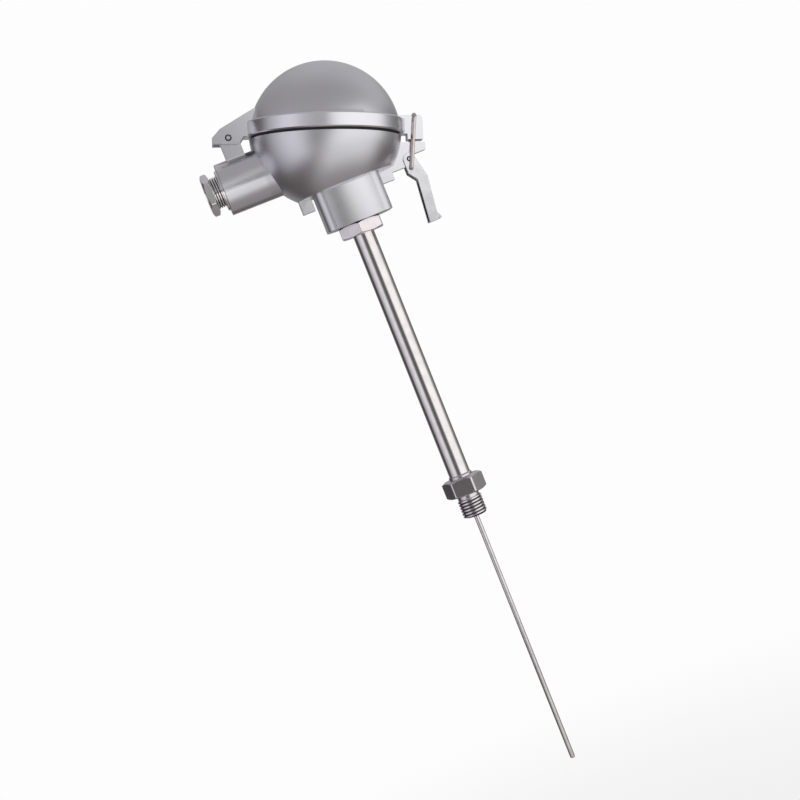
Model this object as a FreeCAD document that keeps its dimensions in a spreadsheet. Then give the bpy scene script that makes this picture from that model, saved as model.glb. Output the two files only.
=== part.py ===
"""Resistance thermometer: threaded probe, extension tube and a connection head with a sprung latch.

The frame has its origin on the shoulder of the process thread, on the probe's axis.
+Z runs up the extension tube to the head, +X points to the latch and -Y to the flat front of the neck.
The lid, the seam and all that rides on them are laid out in the lid's own frame: its origin is the
middle of the seam, u runs down towards the latch, v is Y and w stands square to the seam.
"""
import FreeCAD, Part
import os
import re
import Sketcher

V = FreeCAD.Vector

SIZES = [
    ("thread_d", 16.0, "process thread, major diameter"),
    ("thread_len", 15.0, "process thread, length under the shoulder"),
    ("thread_chamfer", 1.0, "lead-in at the end of an outer thread"),
    ("fitting_af", 24.0, "process fitting, width across flats"),
    ("fitting_len", 11.0, "process fitting, height of the hexagon"),
    ("fitting_turn", -11.0, "process fitting, turn of its hexagon from a flat at the front, in degrees"),
    ("collar_wall", 0.7, "weld collar on the fitting, wall round the tube"),
    ("collar_len", 2.0, "weld collar on the fitting, height"),
    ("hex_bevel", 1.0, "height of the turned bevel on a hexagon's corners"),
    ("tube_d", 14.0, "extension tube, outer diameter"),
    ("tube_wall", 1.5, "extension tube, wall"),
    ("tube_shown", 165.0, "extension tube, length between fitting and nipple"),
    ("tube_seat", 6.0, "depth of the tube in each of its sockets"),
    ("nipple_af", 27.0, "head nipple, width across flats"),
    ("nipple_len", 8.0, "head nipple, height of the hexagon"),
    ("nipple_turn", 22.0, "head nipple, turn of its hexagon from a flat at the front, in degrees"),
    ("nipple_thread_d", 20.0, "head nipple, thread into the head"),
    ("nipple_thread_len", 13.0, "head nipple, length of that thread"),
    ("sheath_d", 3.2, "probe sheath, outer diameter"),
    ("sheath_wall", 0.4, "probe sheath, wall"),
    ("sheath_shown", 170.0, "probe sheath, length past the thread"),
    ("tip_wall", 0.8, "closed end of the sheath"),
    ("element_d", 1.6, "sensing element, diameter"),
    ("element_len", 15.0, "sensing element, length"),
    ("fit", 0.05, "clearance on radius where one turned piece goes in another"),
    ("seat_gap", 0.2, "gap between pieces that lie against each other"),
    ("thread_fit", 0.05, "clearance on radius between a thread and its hole"),
    ("neck_len", 25.0, "neck, height from the nipple to the bowl's flat base"),
    ("neck_half", 21.5, "neck, from the axis to its flat front and sides"),
    ("base_len", 32.0, "from the flat base up to the middle of the seam"),
    ("lid_tilt", 20.0, "slope of the seam, in degrees"),
    ("bowl_r", 48.2, "bowl, outer radius"),
    ("bowl_rise", 4.0, "centre of the bowl above the seam, along w"),
    ("bowl_wall", 3.2, "bowl, wall"),
    ("floor_wall", 4.0, "bowl, thickness of its floor"),
    ("rim_in", 40.5, "bowl, inner radius of its rim face"),
    ("rim_deep", 3.0, "bowl, thickness of its rim face"),
    ("seam_gap", 1.6, "gap of the seam, filled by the gasket"),
    ("gasket_in", 41.5, "gasket, inner radius"),
    ("gasket_out", 46.6, "gasket, outer radius"),
    ("block_len", 8.5, "cast side blocks, height below the base"),
    ("block_wide", 8.0, "cast side blocks, along X"),
    ("block_deep", 9.0, "cast side blocks, along Y"),
    ("block_x", 31.0, "cast side blocks, from the axis to their outer faces"),
    ("boss_r", 16.7, "cable boss, outer radius"),
    ("boss_end", 72.0, "cable boss, from the axis to its end face"),
    ("boss_z", 24.5, "cable boss, axis above the flat base"),
    ("gland_d", 20.0, "packing screw, thread"),
    ("gland_thread_len", 13.0, "packing screw, length of its thread"),
    ("gland_out", 6.5, "packing screw, thread left showing"),
    ("gland_af", 24.0, "packing screw, width across flats"),
    ("gland_hex_len", 5.0, "packing screw, height of its hexagon"),
    ("gland_bore", 12.0, "packing screw, bore for the cable"),
    ("gland_mouth", 2.0, "packing screw, flare of its mouth"),
    ("seal_bore", 9.0, "cable seal, bore"),
    ("seal_len", 10.0, "cable seal, length"),
    ("wire_way", 6.5, "radius of the wire way from the boss into the bowl"),
    ("thrust_len", 1.5, "thrust washer, thickness"),
    ("ring_r", 13.0, "lock ring at the boss, outer radius"),
    ("ring_len", 1.5, "lock ring at the boss, thickness"),
    ("dome_r", 48.0, "lid, outer radius of the dome"),
    ("dome_wall", 2.6, "lid, wall of the dome"),
    ("band_r", 50.0, "lid, outer radius of the rim band"),
    ("band_len", 10.0, "lid, height of the rim band"),
    ("band_edge", 0.8, "lid, rounding of the band's edges"),
    ("pin_u", 61.0, "hinge pin, from the middle of the seam"),
    ("pin_d", 4.0, "hinge pin, diameter"),
    ("pin_head", 0.6, "hinge pin, how far its ends stand out"),
    ("pin_fit", 0.06, "clearance on radius of a turning pin"),
    ("arm_half", 6.0, "hinge arm, half its thickness along Y"),
    ("arm_r", 6.0, "hinge arm, radius of its eye"),
    ("cheek_wall", 3.6, "hinge cheeks, thickness"),
    ("cheek_gap", 0.35, "clearance beside the hinge arm"),
    ("cheek_back", 10.2, "hinge cheeks, reach behind the pin"),
    ("cheek_drop", 3.7, "hinge cheeks, depth under the seam"),
    ("cheek_rise", 5.6, "hinge cheeks, height over the pin at their back"),
    ("wing_top", 18.0, "hinge wing, height where it leaves the dome"),
    ("roof_back", 2.0, "hinge wing, reach of its roof behind the pin"),
    ("eye_gap", 0.5, "clearance round the eye of the hinge arm"),
    ("lug_reach", 61.5, "lid lug, from the middle of the seam"),
    ("lug_top", 12.4, "lid lug, height over the seam"),
    ("lug_drop", 2.8, "lid lug, depth under the seam outside the band"),
    ("lug_half", 6.0, "lid lug, half its width"),
    ("keeper_half", 4.2, "body lug, half its width"),
    ("keeper_reach", 63.0, "body lug, from the middle of the seam"),
    ("keeper_deep", 9.0, "body lug, depth at the bowl"),
    ("keeper_nose", 4.5, "body lug, depth at its nose"),
    ("keeper_run", 12.0, "body lug, run of its sloping underside"),
    ("pivot_x", 44.0, "lever pivot, from the axis"),
    ("pivot_z", 0.0, "lever pivot, above the flat base"),
    ("pivot_r", 3.9, "radius of the ear and the lever round the pivot"),
    ("latch_pin_d", 3.0, "latch pin, diameter"),
    ("sheet_wall", 1.4, "latch lever, sheet thickness"),
    ("lever_gap", 0.4, "clearance between the ear and the lever"),
    ("lever_len", 42.0, "latch lever, length below its pivot"),
    ("lever_deep", 6.0, "latch lever, depth of its channel at the end"),
    ("knee_z", 14.0, "latch lever, its knee below the pivot"),
    ("knee_x", 7.0, "latch lever, its knee outside the pivot"),
    ("knee_deep", 6.8, "latch lever, depth of its channel at the knee"),
    ("end_x", 3.5, "latch lever, outer edge at its end, outside the pivot"),
    ("lip", 2.4, "latch lever, flare of the finger lip"),
    ("bail_d", 2.6, "wire bail, diameter"),
    ("bail_bend", 2.6, "wire bail, bend radius at its middle"),
    ("bail_gap", 0.4, "wire bail, clearance beside the lever"),
    ("bail_drop", 5.9, "wire bail, its ends below the pivot"),
    ("bail_back", 1.0, "wire bail, its ends inside the pivot"),
    ("bail_top", 9.8, "wire bail, height of its crossbar over the seam"),
    ("rest_gap", 0.3, "gap between the crossbar and the nose of the lid lug"),
    ("disc_r", 21.0, "insert disc, radius"),
    ("disc_len", 2.0, "insert disc, thickness"),
    ("screw_x", 16.5, "insert screws, from the axis"),
    ("screw_d", 4.0, "insert screws, thread"),
    ("screw_head_d", 7.0, "insert screws, head diameter"),
    ("screw_head_len", 2.8, "insert screws, head height"),
    ("spring_wire", 1.0, "insert springs, wire diameter"),
    ("spring_round", 0.25, "insert springs, corner of a turn as a share of the wire"),
    ("base_r", 20.0, "terminal block, radius"),
    ("base_block_len", 9.0, "terminal block, thickness"),
    ("base_hole_r", 6.0, "terminal block, centre hole"),
    ("term_r", 12.0, "terminals, from the axis"),
    ("term_x", 7.0, "terminals, length along the radius"),
    ("term_y", 6.0, "terminals, width"),
    ("term_len", 6.0, "terminals, height"),
    ("term_hole_d", 2.4, "terminals, wire hole"),
    ("term_screw_d", 3.0, "terminal screws, thread"),
    ("term_head_d", 5.4, "terminal screws, head"),
    ("term_head_len", 1.9, "terminal screws, head height"),
    ("slot_wide", 0.9, "screwdriver slots, width"),
    ("slot_deep", 0.9, "screwdriver slots, depth"),
    ("pot_d", 6.0, "transition sleeve, diameter"),
    ("pot_len", 6.0, "transition sleeve, height over the insert disc"),
    ("pot_drop", 18.0, "transition sleeve, length under the insert disc"),
    ("lead_d", 1.3, "lead wires, diameter"),
    ("lead_ring", 1.6, "lead wires, from the axis where they leave the sleeve"),
    ("lead_bend", 3.0, "lead wires, bend radius"),
]

# Places that follow from the sizes, each worked out once.
PLACES = [
    ("tube_low", "fitting_len + collar_len"),
    ("tube_high", "tube_low + tube_shown"),
    ("nipple_top", "tube_high + nipple_len"),
    ("base_z", "nipple_top + neck_len"),
    ("floor_z", "base_z + floor_wall"),
    ("seam_z", "base_z + base_len"),
    ("cable_z", "base_z + boss_z"),
    ("tip_z", "-(thread_len + sheath_shown)"),
    ("disc_top", "floor_z + disc_len"),
    ("block_top", "disc_top + base_block_len"),
    ("pot_top", "disc_top + pot_len"),
    ("pot_low", "floor_z - pot_drop"),
    ("sheath_top", "pot_low + pot_drop / 2"),
    ("sheath_in", "sheath_d / 2 - sheath_wall"),
    ("element_low", "tip_z + tip_wall"),
    ("gland_deep", "gland_thread_len + thrust_len + seal_len"),
    ("spring_len", "5 * spring_wire"),
    ("spring_in", "screw_d / 2 + seat_gap"),
    ("spring_out", "spring_in + spring_wire"),
    ("spring_cut", "spring_wire * spring_round"),
    ("half_gap", "seam_gap / 2"),
    ("bowl_in", "bowl_r - bowl_wall"),
    ("dome_in", "dome_r - dome_wall"),
    ("cheek_in", "arm_half + cheek_gap"),
    ("cheek_out", "cheek_in + cheek_wall"),
    ("lever_half", "keeper_half + lever_gap + sheet_wall"),
    ("leg_y", "lever_half + bail_gap + bail_d / 2"),
    ("hook_bend", "bail_gap + bail_d / 2"),
    ("pivot_up", "base_z + pivot_z"),
    ("hook_x", "pivot_x - bail_back"),
    ("hook_z", "pivot_up - bail_drop"),
    ("keeper_top", "lug_drop + seam_gap"),
    ("bar_u", "lug_reach + rest_gap + bail_d / 2"),
    ("bar_x", "bar_u * cos(lid_tilt) + bail_top * sin(lid_tilt)"),
    ("bar_z", "seam_z - bar_u * sin(lid_tilt) + bail_top * cos(lid_tilt)"),
    ("leg_len", "sqrt((bar_x - hook_x)^2 + (bar_z - hook_z)^2)"),
    ("hinge_x", "-pin_u * cos(lid_tilt)"),
    ("hinge_z", "seam_z + pin_u * sin(lid_tilt)"),
]

doc = FreeCAD.newDocument("rtd_probe")
sheet = doc.addObject("Spreadsheet::Sheet", "Sizes")
for row, (alias, value, note) in enumerate(SIZES, start=1):
    sheet.set("A%d" % row, note)
    sheet.set("B%d" % row, "%g" % value)
    sheet.setAlias("B%d" % row, alias)
doc.recompute()
places = doc.addObject("App::VarSet", "Places")
owners = {alias: "Sizes" for alias, _, _ in SIZES}


def formula(text):
    """An expression in which each bare name is spelled with the object that holds it."""
    def spell(match):
        word = match.group(0)
        return "%s.%s" % (owners[word], word) if word in owners else word
    return re.sub(r"[a-z_][a-z_0-9]*", spell, str(text))


for name, text in PLACES:
    places.addProperty("App::PropertyFloat", name)
    places.setExpression(name, formula(text))
    owners[name] = "Places"
doc.recompute()

ALONG_Y = ((1, 0, 0), -90)
TO_THE_BOSS = ((0, 1, 0), -90)
UPSIDE_DOWN = ((1, 0, 0), 180)


def bind(thing, **properties):
    """Tie properties of an object to expressions."""
    for name, text in properties.items():
        thing.setExpression(name, formula(text))
    return thing


def place(thing, at=("0", "0", "0"), turn=None, lean=None, spin=None):
    """Put an object at three expressions; turn is fixed, lean is an angle about Y, spin one about Z."""
    if turn:
        thing.Placement = FreeCAD.Placement(V(), FreeCAD.Rotation(V(*turn[0]), turn[1]))
    for angle, axis in ((lean, V(0, 1, 0)), (spin, V(0, 0, 1))):
        if angle:
            thing.Placement = FreeCAD.Placement(V(), FreeCAD.Rotation(axis, 1))
            thing.setExpression("Placement.Rotation.Angle", formula(angle))
    for axis, text in zip("xyz", at):
        thing.setExpression("Placement.Base." + axis, formula(text))
    return thing


def solid(kind, name, at=("0", "0", "0"), turn=None, lean=None, **sizes):
    """One primitive, placed and sized by expressions."""
    return place(bind(doc.addObject("Part::" + kind, name), **sizes), at, turn, lean)


def cylinder(name, radius, height, at=("0", "0", "0"), turn=None, lean=None):
    return solid("Cylinder", name, at, turn, lean, Radius=radius, Height=height)


def bar(name, x, y, z, lean=None):
    """A box between pairs of expressions for its two ends along X, Y and Z."""
    return solid("Box", name, (x[0], y[0], z[0]), None, lean,
                 Length="(%s) - (%s)" % (x[1], x[0]),
                 Width="(%s) - (%s)" % (y[1], y[0]),
                 Height="(%s) - (%s)" % (z[1], z[0]))


def fuse(name, *things):
    joined = doc.addObject("Part::MultiFuse", name)
    joined.Shapes = list(things)
    joined.Refine = True
    return joined


def cut(name, base, *tools):
    less = doc.addObject("Part::Cut", name)
    less.Base = base
    less.Tool = tools[0] if len(tools) == 1 else fuse(name + "_tools", *tools)
    less.Refine = True
    return less


def common(name, *things):
    shared = doc.addObject("Part::MultiCommon", name)
    shared.Shapes = list(things)
    return shared


def sketch(body, role, outline):
    """A closed outline of straight lines; each corner is a pair of expressions from the origin."""
    plane = [item for item in body.Origin.OriginFeatures if item.Role == role][0]
    drawing = body.newObject("Sketcher::SketchObject", body.Name + "_outline")
    drawing.AttachmentSupport = [(plane, "")]
    drawing.MapMode = "FlatFace"
    probe = doc.addObject("App::VarSet", "Probe")
    probe.addProperty("App::PropertyFloat", "x")
    probe.addProperty("App::PropertyFloat", "y")
    corners = []
    for across, up in outline:
        probe.setExpression("x", formula(across))
        probe.setExpression("y", formula(up))
        probe.recompute()
        corners.append(V(probe.x, probe.y, 0))
    doc.removeObject(probe.Name)
    count = len(corners)
    for index, corner in enumerate(corners):
        drawing.addGeometry(Part.LineSegment(corner, corners[(index + 1) % count]), False)
    for index in range(count):
        drawing.addConstraint(Sketcher.Constraint("Coincident", index, 2, (index + 1) % count, 1))
    for index, corner in enumerate(corners):
        for kind, start, text in (("DistanceX", corner.x, outline[index][0]),
                                  ("DistanceY", corner.y, outline[index][1])):
            rule = drawing.addConstraint(Sketcher.Constraint(kind, -1, 1, index, 1, start))
            title = "%s_%d" % (kind[-1].lower(), index)
            drawing.renameConstraint(rule, title)
            drawing.setExpression("Constraints." + title, formula(text))
    return drawing


def turned(name, outline, at=("0", "0", "0"), turn=None, lean=None):
    """A turned piece: its half section in the XZ plane, carried once round Z."""
    body = doc.addObject("PartDesign::Body", name)
    drawing = sketch(body, "XZ_Plane", outline)
    ring = body.newObject("PartDesign::Revolution", name + "_turn")
    ring.Profile = drawing
    ring.ReferenceAxis = (drawing, ["V_Axis"])
    ring.Angle = 360
    drawing.Visibility = False
    return place(body, at, turn, lean)


def tube(name, inner, outer, low, high, **where):
    """A turned ring between two radii and two heights."""
    return turned(name, [(inner, low), (outer, low), (outer, high), (inner, high)], **where)


def plate(name, outline, half):
    """A flat piece: its outline in the XZ plane, as thick as half to each side of that plane."""
    body = doc.addObject("PartDesign::Body", name)
    pad = body.newObject("PartDesign::Pad", name + "_pad")
    pad.Profile = sketch(body, "XZ_Plane", outline)
    pad.Midplane = True
    return bind(pad, Length="2 * (%s)" % half) and body


def hexagon(name, flats, low, high, spin=None):
    """A hexagon of the given width across flats, its corners turned down at both ends."""
    prism = solid("Prism", name + "_prism", Circumradius="(%s) / 2 / cos(30)" % flats,
                  Height="(%s) - (%s)" % (high, low))
    prism.Polygon = 6
    place(prism, ("0", "0", low), spin=spin)
    inner = "(%s) / 2 * 0.99" % flats
    outer = "(%s) / 2 / cos(30)" % flats
    bevel = turned(name + "_bevel", [
        ("0", low), (inner, low), (outer, "(%s) + hex_bevel" % low),
        (outer, "(%s) - hex_bevel" % high), (inner, high), ("0", high)])
    return common(name, prism, bevel)


def threaded(name, diameter, low, high, lead_in_low=True):
    """The plain body of a threaded length, with its lead-in at the lower or the upper end."""
    radius = "(%s) / 2" % diameter
    nose = "(%s) / 2 - thread_chamfer" % diameter
    if lead_in_low:
        return turned(name, [("0", low), (nose, low), (radius, "(%s) + thread_chamfer" % low),
                             (radius, high), ("0", high)])
    return turned(name, [("0", low), (radius, low), (radius, "(%s) - thread_chamfer" % high),
                         (nose, high), ("0", high)])


made = []


def finish(thing, label):
    """Mark an object as a finished piece of the assembly under the name that its file takes."""
    thing.Label = label
    made.append(thing)
    return thing


def make_probe():
    """The sheath with its element and mineral filling, and the sleeve that seals its upper end."""
    finish(turned("Sheath", [
        ("0", "tip_z"), ("sheath_in", "tip_z"), ("sheath_d / 2", "tip_z + sheath_wall"),
        ("sheath_d / 2", "sheath_top"), ("sheath_in", "sheath_top"),
        ("sheath_in", "element_low"), ("0", "element_low")]), "probe_sheath")
    finish(cylinder("Element", "element_d / 2", "element_len", ("0", "0", "element_low")), "sensing_element")
    finish(cylinder("Mineral", "sheath_in - fit", "sheath_top - element_low - element_len",
                    ("0", "0", "element_low + element_len")), "mineral_filling")
    finish(cut("Sleeve", cylinder("Sleeve_body", "pot_d / 2", "pot_top - pot_low", ("0", "0", "pot_low")),
               cylinder("Sleeve_socket", "sheath_d / 2 + fit", "sheath_top - pot_low + 1", ("0", "0", "pot_low - 1"))),
           "transition_sleeve")


def make_fitting():
    """The process fitting, welded to the lower end of the extension tube."""
    blank = fuse("Fitting_blank",
                 threaded("Fitting_shank", "thread_d", "-thread_len", "fitting_len / 2"),
                 hexagon("Fitting_hex", "fitting_af", "0", "fitting_len", "fitting_turn"),
                 cylinder("Fitting_collar", "tube_d / 2 + collar_wall", "collar_len + fitting_len / 2",
                          ("0", "0", "fitting_len / 2")))
    bore = turned("Fitting_bore", [
        ("0", "-thread_len - 1"), ("sheath_d / 2 + fit", "-thread_len - 1"),
        ("sheath_d / 2 + fit", "tube_low - tube_seat"), ("tube_d / 2 + fit", "tube_low - tube_seat"),
        ("tube_d / 2 + fit", "tube_low + 1"), ("0", "tube_low + 1")])
    finish(cut("Fitting", blank, bore), "process_fitting")
    finish(tube("Tube", "tube_d / 2 - tube_wall", "tube_d / 2", "tube_low - tube_seat",
                "tube_high + tube_seat"), "extension_tube")


def make_nipple():
    """The hexagonal nipple that joins the extension tube to the head."""
    blank = fuse("Nipple_blank",
                 hexagon("Nipple_hex", "nipple_af", "tube_high", "nipple_top", "nipple_turn"),
                 threaded("Nipple_shank", "nipple_thread_d", "tube_high + nipple_len / 2",
                          "nipple_top + nipple_thread_len", lead_in_low=False))
    bore = turned("Nipple_bore", [
        ("0", "tube_high - 1"), ("tube_d / 2 + fit", "tube_high - 1"),
        ("tube_d / 2 + fit", "tube_high + tube_seat"), ("tube_d / 2 - tube_wall", "tube_high + tube_seat"),
        ("tube_d / 2 - tube_wall", "nipple_top + nipple_thread_len + 1"),
        ("0", "nipple_top + nipple_thread_len + 1")])
    finish(cut("Nipple", blank, bore), "head_nipple")


def half_space(name, low, high):
    """A slab square to the seam, wide enough to trim the whole head."""
    reach = "3 * band_r"
    slab = cylinder(name, reach, "(%s) - (%s)" % (high, low),
                    ("(%s) * sin(lid_tilt)" % low, "0", "seam_z + (%s) * cos(lid_tilt)" % low), lean="lid_tilt")
    return slab


def make_head_body():
    """The cast body: bowl, neck, cable boss, hinge arm, latch lug and ear, and the two side blocks."""
    centre = ("bowl_rise * sin(lid_tilt)", "0", "seam_z + bowl_rise * cos(lid_tilt)")
    ball = cut("Bowl", solid("Sphere", "Bowl_ball", centre, Radius="bowl_r"),
               half_space("Bowl_trim", "-half_gap", "2 * band_r"),
               bar("Bowl_base", ("-2 * band_r", "2 * band_r"), ("-2 * band_r", "2 * band_r"),
                   ("base_z - 2 * band_r", "base_z")))
    neck_box = bar("Neck_front", ("-neck_half", "neck_half"), ("-neck_half", "0"),
                   ("nipple_top", "base_z + floor_wall / 2"))
    neck_back = cylinder("Neck_back", "neck_half", "neck_len + floor_wall / 2", ("0", "0", "nipple_top"))
    boss = cylinder("Boss", "boss_r", "boss_end - 3 * bowl_in / 4", ("-3 * bowl_in / 4", "0", "cable_z"),
                    TO_THE_BOSS)
    arm = bar("Arm", ("hinge_x - arm_r", "hinge_x + arm_r"), ("-arm_half", "arm_half"), ("cable_z", "hinge_z"))
    eye = cylinder("Arm_eye", "arm_r", "2 * arm_half", ("hinge_x", "-arm_half", "hinge_z"), ALONG_Y)
    blocks = [bar("Block_%s" % side, low_high, ("-block_deep / 2", "block_deep / 2"),
                  ("base_z - block_len", "base_z + floor_wall / 2"))
              for side, low_high in (("left", ("-block_x", "block_wide - block_x")),
                                     ("right", ("block_x - block_wide", "block_x")))]
    keeper = plate("Keeper", [
        ("rim_in", "-keeper_top"), ("rim_in", "-keeper_top - keeper_deep"),
        ("keeper_reach - keeper_run", "-keeper_top - keeper_deep"), ("keeper_reach", "-keeper_top - keeper_nose"),
        ("keeper_reach", "-keeper_top")], "keeper_half")
    place(keeper, ("0", "0", "seam_z"), lean="lid_tilt")
    ear_bar = bar("Ear_bar", ("pivot_x - 3.5 * pivot_r", "pivot_x"), ("-keeper_half", "keeper_half"),
                  ("pivot_up - pivot_r", "pivot_up + pivot_r"))
    ear_eye = cylinder("Ear_eye", "pivot_r", "2 * keeper_half", ("pivot_x", "-keeper_half", "pivot_up"), ALONG_Y)
    blank = fuse("Head_blank", ball, neck_box, neck_back, boss, arm, eye, keeper, ear_bar, ear_eye, *blocks)
    room = cut("Room", solid("Sphere", "Room_ball", centre, Radius="bowl_in"),
               half_space("Room_trim", "-half_gap - rim_deep", "2 * band_r"),
               bar("Room_floor", ("-2 * band_r", "2 * band_r"), ("-2 * band_r", "2 * band_r"),
                   ("base_z - 2 * band_r", "floor_z")))
    mouth = cylinder("Room_mouth", "rim_in", "2 * rim_deep",
                     ("-(half_gap + 1.5 * rim_deep) * sin(lid_tilt)", "0",
                      "seam_z - (half_gap + 1.5 * rim_deep) * cos(lid_tilt)"), lean="lid_tilt")
    stem = cylinder("Stem_hole", "nipple_thread_d / 2 + thread_fit", "nipple_thread_len + 1",
                    ("0", "0", "nipple_top - 1"))
    way = cylinder("Stem_way", "tube_d / 2 - tube_wall", "neck_len + 2 * floor_wall", ("0", "0", "nipple_top"))
    gland = cylinder("Gland_hole", "gland_d / 2 + thread_fit", "gland_deep + 1",
                     ("-boss_end + gland_deep", "0", "cable_z"), TO_THE_BOSS)
    wires = cylinder("Wire_way", "wire_way", "boss_end - bowl_in / 2", ("-bowl_in / 2", "0", "cable_z"), TO_THE_BOSS)
    pin_hole = cylinder("Arm_hole", "pin_d / 2 + fit", "2 * arm_half + 2", ("hinge_x", "-arm_half - 1", "hinge_z"),
                        ALONG_Y)
    latch_hole = cylinder("Ear_hole", "latch_pin_d / 2 + pin_fit", "2 * keeper_half + 2",
                          ("pivot_x", "-keeper_half - 1", "pivot_up"), ALONG_Y)
    taps = [cylinder("Tap_%d" % side, "screw_d / 2 + thread_fit", "0.8 * floor_wall + 1",
                     ("%d * screw_x" % side, "0", "floor_z - 0.8 * floor_wall")) for side in (-1, 1)]
    finish(cut("Head", blank, room, mouth, stem, way, gland, wires, pin_hole, latch_hole, *taps), "head_body")


def make_lid():
    """The cast lid: dome, rim band, hinge wing with its two cheeks, and the lug that the bail takes."""
    dome = cut("Dome", solid("Sphere", "Dome_ball", Radius="dome_r"),
               cylinder("Dome_trim", "2 * band_r", "2 * band_r", ("0", "0", "half_gap - 2 * band_r")))
    band = turned("Band", [
        ("0", "half_gap"), ("band_r - band_edge", "half_gap"), ("band_r", "half_gap + band_edge"),
        ("band_r", "band_len - band_edge"), ("band_r - band_edge", "band_len"), ("0", "band_len")])
    wing = plate("Wing", [
        ("-dome_r / 2", "half_gap"), ("-dome_r / 2", "wing_top"), ("-(dome_r - band_edge * 4)", "wing_top"),
        ("-(pin_u + cheek_back / 2)", "cheek_rise"), ("-(pin_u + cheek_back)", "0"),
        ("-(pin_u + cheek_back)", "-cheek_drop"), ("-(pin_u - arm_r - eye_gap)", "-cheek_drop"),
        ("-(band_r + 2 * band_edge)", "half_gap")], "cheek_out")
    lug = plate("Lug", [
        ("dome_r / 2", "half_gap"), ("band_r + 2 * band_edge", "half_gap"), ("band_r + 2 * band_edge", "-lug_drop"),
        ("lug_reach", "-lug_drop"), ("lug_reach", "lug_top - 2 * band_edge"),
        ("lug_reach - 2 * band_edge", "lug_top"), ("dome_r / 2", "lug_top")], "lug_half")
    blank = fuse("Lid_blank", dome, band, wing, lug)
    room = cut("Lid_room", solid("Sphere", "Lid_room_ball", Radius="dome_in"),
               cylinder("Lid_room_trim", "2 * band_r", "2 * band_r", ("0", "0", "half_gap + rim_deep - 2 * band_r")))
    mouth = cylinder("Lid_mouth", "rim_in", "2 * rim_deep", ("0", "0", "half_gap - rim_deep / 2"))
    round_eye = cylinder("Wing_eye", "arm_r + eye_gap", "2 * cheek_in", ("-pin_u", "-cheek_in", "0"), ALONG_Y)
    behind = bar("Wing_behind", ("-(pin_u + 2 * cheek_back)", "-(pin_u + roof_back)"), ("-cheek_in", "cheek_in"),
                 ("-2 * cheek_drop", "wing_top"))
    below = bar("Wing_below", ("-(pin_u + 2 * cheek_back)", "-(band_r + band_edge)"),
                ("-cheek_in", "cheek_in"), ("-2 * cheek_drop", "0"))
    hole = cylinder("Wing_hole", "pin_d / 2 + pin_fit", "2 * cheek_out + 2", ("-pin_u", "-cheek_out - 1", "0"),
                    ALONG_Y)
    seat = cylinder("Lug_seat", "bail_d / 2 + rest_gap", "2 * lug_half + 2",
                    ("lug_reach - 2 * bail_d", "-lug_half - 1", "lug_top"), ALONG_Y)
    lid = cut("Lid", blank, room, mouth, round_eye, behind, below, hole, seat)
    finish(place(lid, ("0", "0", "seam_z"), lean="lid_tilt"), "lid")
    finish(tube("Gasket", "gasket_in", "gasket_out", "-half_gap", "half_gap",
                at=("0", "0", "seam_z"), lean="lid_tilt"), "lid_gasket")
    ends = "cheek_out + pin_head"
    pin = cylinder("Hinge_pin_rod", "pin_d / 2", "2 * (%s)" % ends, ("hinge_x", "-(%s)" % ends, "hinge_z"), ALONG_Y)
    dimples = [cylinder("Dimple_%s" % name, "pin_d / 4", "2 * pin_head", ("hinge_x", start, "hinge_z"), ALONG_Y)
               for name, start in (("front", "-(%s) - pin_head" % ends), ("back", "(%s) - pin_head" % ends))]
    finish(cut("Hinge_pin", pin, *dimples), "hinge_pin")


def make_latch():
    """The sheet lever on the ear under the bowl, its pin, and the wire bail hooked in the lever."""
    lever = doc.addObject("PartDesign::Body", "Lever")
    outer = body_pad(lever, "Lever_side", [
        ("-pivot_r", "0"), ("-pivot_r", "-bail_drop - bail_d"), ("knee_x - knee_deep", "-knee_z"),
        ("end_x - lever_deep", "-lever_len"), ("end_x", "-lever_len"), ("knee_x", "-knee_z"),
        ("pivot_r", "0")], "lever_half")
    eye = cylinder("Lever_eye", "pivot_r", "2 * lever_half", ("0", "-lever_half", "0"), ALONG_Y)
    lip = plate("Lever_lip", [
        ("end_x - sheet_wall", "-lever_len + 2 * sheet_wall"), ("end_x + lip - sheet_wall", "-lever_len"),
        ("end_x + lip", "-lever_len + sheet_wall / 2"), ("end_x", "-lever_len + 4 * sheet_wall")], "lever_half")
    web = "2 * knee_z"
    hollow = plate("Lever_hollow", [
        ("-2 * knee_z", "2 * pivot_r"), ("-2 * knee_z", "-lever_len - 1"),
        ("end_x - sheet_wall", "-lever_len - 1"), ("end_x - sheet_wall", "-lever_len"),
        ("knee_x - sheet_wall", "-knee_z"), (web, "-knee_z"), (web, "2 * pivot_r")],
        "lever_half - sheet_wall")
    holes = [cylinder("Lever_hole_%s" % name, radius, "2 * lever_half + 2", (across, "-lever_half - 1", up), ALONG_Y)
             for name, radius, across, up in (("pin", "latch_pin_d / 2 + fit", "0", "0"),
                                              ("bail", "bail_d / 2 + pin_fit", "-bail_back", "-bail_drop"))]
    solid_lever = fuse("Lever_blank", outer, eye, lip)
    made_lever = cut("Latch_lever", solid_lever, hollow, *holes)
    finish(place(made_lever, ("pivot_x", "0", "pivot_up")), "latch_lever")
    pin_half = "lever_half + bail_gap / 2"
    finish(cylinder("Latch_pin", "latch_pin_d / 2", "2 * (%s)" % pin_half,
                    ("pivot_x", "-(%s)" % pin_half, "pivot_up"), ALONG_Y), "latch_pin")
    finish(make_bail(), "wire_bail")


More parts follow.
